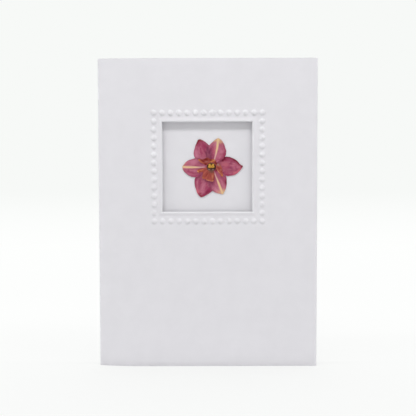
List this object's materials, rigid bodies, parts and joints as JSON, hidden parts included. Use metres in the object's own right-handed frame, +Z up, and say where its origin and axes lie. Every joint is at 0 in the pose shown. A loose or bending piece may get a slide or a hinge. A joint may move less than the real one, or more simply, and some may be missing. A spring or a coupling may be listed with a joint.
{
  "type": "greeting card",
  "caption": "Standing folded card with a square embossed window, a bead border and a pressed flower mounted behind it.",
  "frame": {"origin": "on the table, under the middle of the front panel and in the middle of its thickness", "axes": "+X right as the front is seen, +Y away from the viewer, +Z up"},
  "size_m": [0.105, 0.0593, 0.148],
  "materials": {
    "card_white": "matte",
    "foam_white": "matte",
    "clear_glue": "gloss",
    "petal_mauve": "matte",
    "petal_striped": "matte",
    "trumpet_rust": "matte",
    "throat_dark": "matte",
    "anther_yellow": "matte"
  },
  "bodies": {
    "root": {"card": "card_white", "tape_top": "foam_white", "tape_bottom": "foam_white", "tape_left": "foam_white", "tape_right": "foam_white", "glue_dab": "clear_glue", "petal_upper_left": "petal_mauve", "petal_right": "petal_mauve", "petal_lower_left": "petal_mauve", "petal_upper_right": "petal_striped", "petal_lower_right": "petal_striped", "petal_left": "petal_striped", "trumpet_lower": "trumpet_rust", "trumpet_upper": "trumpet_rust", "trumpet_right": "trumpet_rust", "throat": "throat_dark", "anthers": "anther_yellow"}
  },
  "joints": []
}
